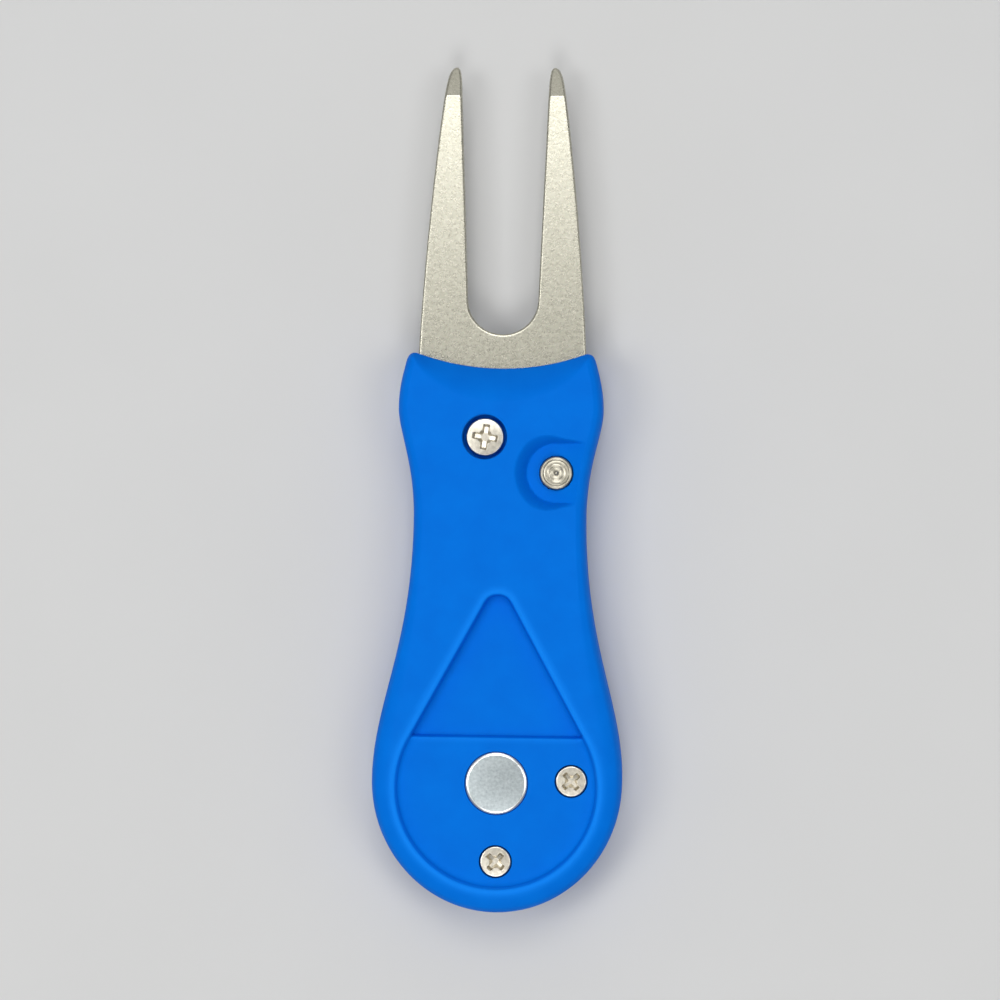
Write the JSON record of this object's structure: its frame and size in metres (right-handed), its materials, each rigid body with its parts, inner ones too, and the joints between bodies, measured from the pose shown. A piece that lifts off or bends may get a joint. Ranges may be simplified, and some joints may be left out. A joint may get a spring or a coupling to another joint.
{
  "type": "divot repair tool",
  "caption": "Switchblade divot repair tool: a steel fork folds into a moulded handle with a release button and a magnetic marker recess.",
  "frame": {"origin": "middle of the bounding box, on the handle's flat back", "axes": "+Y to the fork's tips when open, +Z out of the button side, +X to the button's side of the handle"},
  "size_m": [0.0324, 0.1098, 0.0114],
  "materials": {
    "handle_plastic": "soft-touch moulded plastic, azure blue, fine texture",
    "fork_steel": "bead-blasted stainless steel, satin",
    "turned_steel": "turned stainless steel with fine rings",
    "screw_nickel": "nickel-plated steel, bright",
    "magnet_nickel": "nickel-plated magnet face, mottled satin",
    "spring_steel": "spring steel, lightly oiled",
    "insert_brass": "machined brass"
  },
  "bodies": {
    "handle": {"front_cover": "handle_plastic", "rear_cover": "handle_plastic", "pivot_post": "turned_steel", "pivot_screw": "screw_nickel", "front_washer": "turned_steel", "rear_washer": "turned_steel", "fork_spring": "spring_steel", "lock_spring": "spring_steel", "lock_spring_screw_a": "screw_nickel", "lock_spring_screw_b": "screw_nickel", "open_stop_pin": "turned_steel", "closed_stop_pin": "turned_steel", "magnet": "magnet_nickel", "side_cover_screw": "screw_nickel", "bottom_cover_screw": "screw_nickel", "side_insert": "insert_brass", "bottom_insert": "insert_brass"},
    "fork_body": {"fork": "fork_steel"},
    "button_body": {"button": "turned_steel"}
  },
  "joints": [
    {"name": "fork_swing", "type": "hinge", "parent": "handle", "child": "fork_body", "pos_m": [-0.00196, 0.00655, 0.0057], "axis": [0, 0, 1], "range_deg": [0, 180], "stiffness_Nm_per_rad": 0.01, "springref_deg": -85.94, "deforming": ["fork_spring"]},
    {"name": "button_press", "type": "slide", "parent": "handle", "child": "button_body", "axis": [0, 0, -1], "range_m": [0, 0.0012], "stiffness_N_per_m": 500, "springref_m": -0.002, "deforming": ["lock_spring"]}
  ]
}
